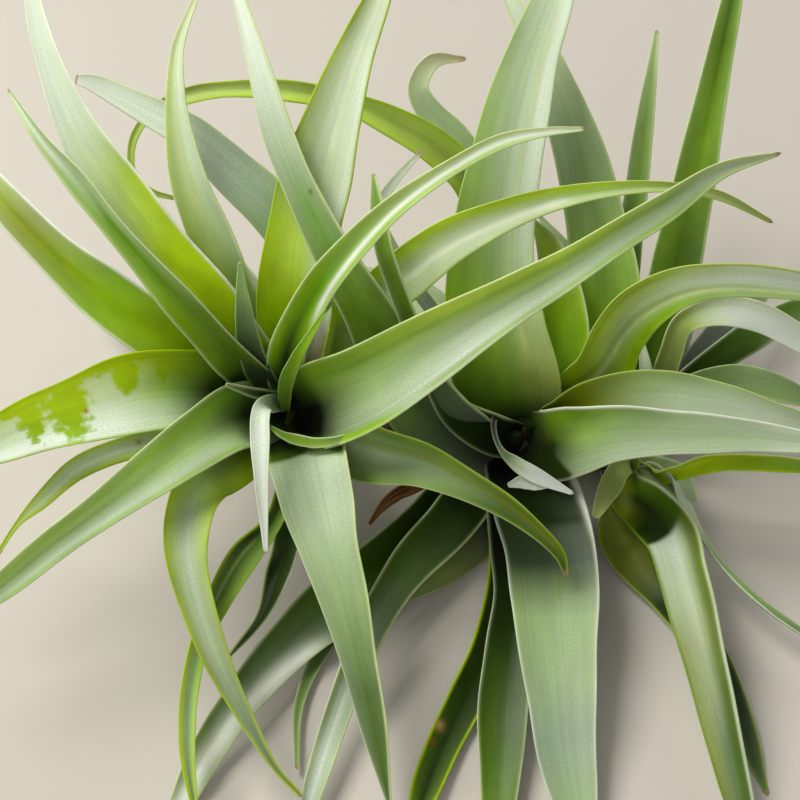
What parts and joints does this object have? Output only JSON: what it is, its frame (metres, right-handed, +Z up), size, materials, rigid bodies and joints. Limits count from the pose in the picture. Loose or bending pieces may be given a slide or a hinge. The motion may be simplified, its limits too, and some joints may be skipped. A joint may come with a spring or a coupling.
{
  "type": "air plant",
  "caption": "Clump of rosettes of long, narrow, channelled silvery-green leaves that arch outwards from one short woody stem, resting on its foot.",
  "frame": {"origin": "middle of the flat spot under the stem's foot, on the surface that the plant rests on", "axes": "+Z up, +X along the row of rosettes from the left rosette to the right one, -Y towards the plant's face, which leans back so that it looks up and forwards"},
  "size_m": [0.2932, 0.2862, 0.1598],
  "materials": {
    "stem_wood": "rough",
    "leaf_pale": "satin",
    "leaf_olive": "satin",
    "leaf_vivid": "satin",
    "leaf_deep": "satin",
    "leaf_silver": "satin",
    "leaf_lime": "satin",
    "leaf_grey": "satin",
    "leaf_green": "satin",
    "dry_leaf": "rough"
  },
  "bodies": {
    "root": {"stem": "stem_wood", "left_heart": "leaf_pale", "middle_heart": "leaf_pale", "right_heart": "leaf_olive", "left_leaf_01": "leaf_vivid", "left_leaf_02": "leaf_deep", "left_leaf_03": "leaf_silver", "left_leaf_04": "leaf_pale", "left_leaf_05": "leaf_silver", "left_leaf_06": "leaf_lime", "left_leaf_07": "leaf_silver", "left_leaf_08": "leaf_pale", "left_leaf_09": "leaf_lime", "left_leaf_10": "leaf_lime", "left_leaf_11": "leaf_lime", "left_leaf_12": "leaf_vivid", "left_leaf_13": "leaf_pale", "left_leaf_14": "leaf_pale", "left_leaf_15": "leaf_vivid", "left_leaf_16": "leaf_deep", "left_leaf_17": "leaf_lime", "left_leaf_18": "leaf_deep", "left_leaf_19": "leaf_deep", "middle_leaf_01": "leaf_grey", "middle_leaf_02": "leaf_deep", "middle_leaf_03": "leaf_green", "middle_leaf_04": "leaf_pale", "middle_leaf_05": "leaf_vivid", "middle_leaf_06": "leaf_grey", "middle_leaf_07": "leaf_grey", "middle_leaf_08": "leaf_lime", "middle_leaf_09": "leaf_grey", "middle_leaf_10": "leaf_green", "middle_leaf_11": "leaf_deep", "middle_leaf_12": "leaf_grey", "middle_leaf_13": "leaf_lime", "middle_leaf_14": "leaf_deep", "middle_leaf_15": "leaf_deep", "middle_leaf_16": "leaf_grey", "middle_leaf_17": "leaf_deep", "middle_leaf_18": "leaf_deep", "middle_leaf_19": "leaf_deep", "middle_leaf_20": "leaf_grey", "middle_leaf_21": "leaf_grey", "dry_leaf": "dry_leaf", "right_leaf_01": "leaf_silver", "right_leaf_02": "leaf_silver", "right_leaf_03": "leaf_green", "right_leaf_04": "leaf_green", "right_leaf_05": "leaf_lime", "right_leaf_06": "leaf_grey", "right_leaf_07": "leaf_deep", "right_leaf_08": "leaf_silver", "right_leaf_09": "leaf_deep", "right_leaf_10": "leaf_deep", "right_leaf_11": "leaf_deep"}
  },
  "joints": []
}
